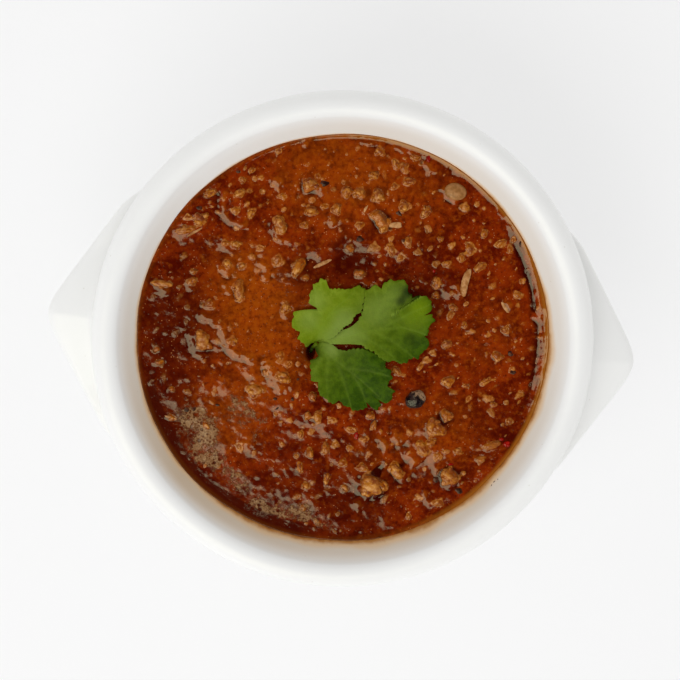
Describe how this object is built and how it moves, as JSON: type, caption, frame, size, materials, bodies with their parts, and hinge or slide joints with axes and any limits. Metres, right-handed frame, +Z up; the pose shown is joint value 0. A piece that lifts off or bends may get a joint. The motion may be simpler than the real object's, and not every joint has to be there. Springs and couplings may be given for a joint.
{
  "type": "bowl of vegetarian chili",
  "caption": "White stoneware lug bowl filled with vegetarian chili of soy mince and beans, with a coriander leaf on top.",
  "frame": {"origin": "centre of the underside of the foot ring, where the bowl stands on the table", "axes": "+Z up out of the bowl's mouth, +X and -X towards the tips of the two lugs"},
  "size_m": [0.1672, 0.1412, 0.062],
  "materials": {
    "glazed_stoneware": "smooth white glaze",
    "chili_sauce": "wet red-brown tomato and soy mince stew with a film of oil",
    "coriander": "matt green leaf with pale veins",
    "black_bean_skin": "shiny dark bean skin",
    "pale_bean_flesh": "wet pale bean",
    "onion_flesh": "soft cooked onion"
  },
  "bodies": {
    "root": {"bowl": "glazed_stoneware", "chili": "chili_sauce", "coriander_leaf": "coriander", "black_bean": "black_bean_skin", "pale_bean": "pale_bean_flesh", "onion_strip": "onion_flesh"}
  },
  "joints": []
}
